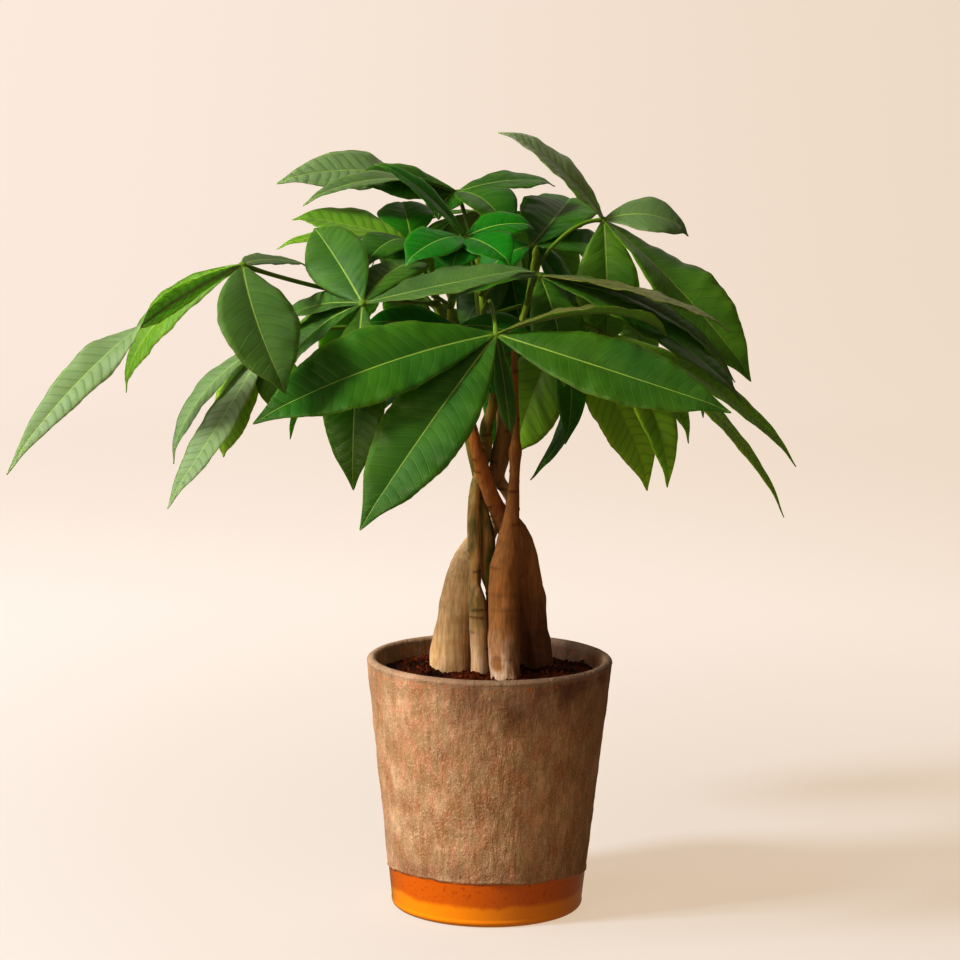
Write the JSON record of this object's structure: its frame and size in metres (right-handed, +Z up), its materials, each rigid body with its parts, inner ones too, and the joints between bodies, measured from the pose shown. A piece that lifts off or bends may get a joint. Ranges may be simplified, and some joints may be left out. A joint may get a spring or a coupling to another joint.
{
  "type": "potted money tree",
  "caption": "House plant for a table or floor: braided trunks under a crown of palmate leaves, in a tapered stoneware pot with a glazed foot band.",
  "frame": {"origin": "middle of the pot's underside, on the surface that it stands on", "axes": "+Z up, +X to the right and +Y to the back as the plant is seen from the front"},
  "size_m": [0.4483, 0.3857, 0.4736],
  "materials": {
    "pot": "rough brown slip over a glossy orange glaze band at the foot",
    "soil": "dark crumbly potting soil",
    "trunk": "thin brown bark",
    "leaf": "satin green leaf"
  },
  "bodies": {
    "root": {"pot": "pot", "soil": "soil", "trunk_left": "trunk", "trunk_slender": "trunk", "trunk_middle": "trunk", "trunk_front": "trunk", "trunk_right": "trunk", "leaf_front": "leaf", "leaf_front_left": "leaf", "leaf_left": "leaf", "leaf_low_left": "leaf", "leaf_high_right": "leaf", "leaf_middle": "leaf", "leaf_top": "leaf", "leaf_right": "leaf", "leaf_upper_left": "leaf", "leaf_heart": "leaf", "leaf_low_right": "leaf", "leaf_low_back": "leaf", "leaf_inner": "leaf", "leaf_core": "leaf", "leaf_back_left": "leaf", "leaf_back_middle": "leaf", "leaf_back_right": "leaf", "leaf_back_low_left": "leaf", "leaf_back_low_right": "leaf"}
  },
  "joints": []
}
